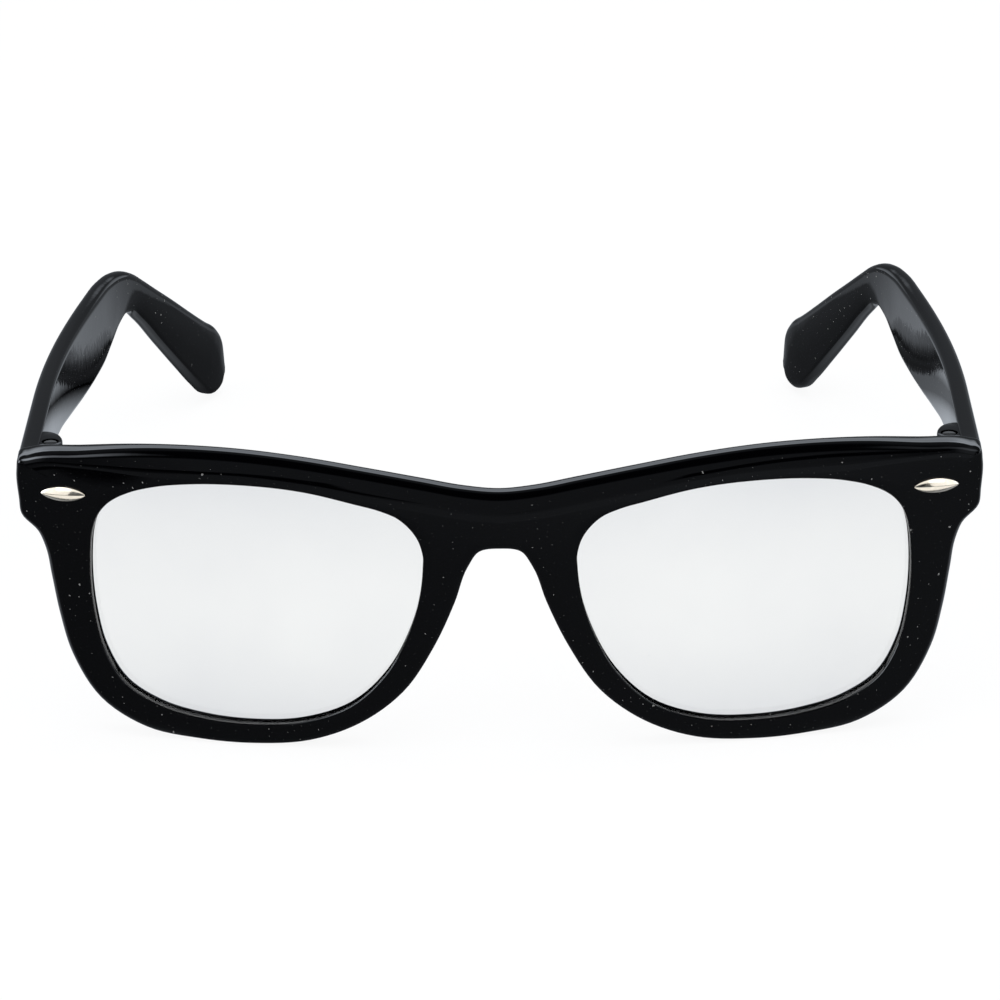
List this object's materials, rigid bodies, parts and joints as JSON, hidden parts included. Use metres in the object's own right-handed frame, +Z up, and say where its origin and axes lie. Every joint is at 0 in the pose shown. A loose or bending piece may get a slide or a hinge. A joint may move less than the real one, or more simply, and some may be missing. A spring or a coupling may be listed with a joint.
{
  "type": "horn-rimmed eyeglasses",
  "caption": "Thick black moulded eyeglasses with trapezoid rims, clear plano lenses, marquise rivet trims and temples that fold on screw hinges.",
  "frame": {"origin": "centre of the bounding box in X and Y, on the plane the glasses stand on with rim bottoms and temple tips", "axes": "+X across the face towards the temple named right, +Y from the front towards the temple tips, +Z up"},
  "size_m": [0.146, 0.1342, 0.0487],
  "materials": {
    "frame_black": "polished injection-moulded black plastic",
    "temple_black": "polished injection-moulded black plastic",
    "lens_clear": "clear polycarbonate, polished, no tint",
    "screw_steel": "turned stainless steel",
    "rivet_nickel": "stamped metal, warm nickel plating"
  },
  "bodies": {
    "front": {"front_frame": "frame_black", "lens_left": "lens_clear", "lens_right": "lens_clear", "rivet_left": "rivet_nickel", "rivet_right": "rivet_nickel"},
    "temple_left_body": {"temple_left": "temple_black", "hinge_screw_left": "screw_steel"},
    "temple_right_body": {"temple_right": "temple_black", "hinge_screw_right": "screw_steel"}
  },
  "joints": [
    {"name": "temple_left_fold", "type": "hinge", "parent": "front", "child": "temple_left_body", "pos_m": [-0.0685, -0.04758, 0.03935], "axis": [0, 0, -1], "range_deg": [0, 84]},
    {"name": "temple_right_fold", "type": "hinge", "parent": "front", "child": "temple_right_body", "pos_m": [0.0685, -0.04758, 0.03935], "axis": [0, 0, 1], "range_deg": [0, 78]}
  ]
}
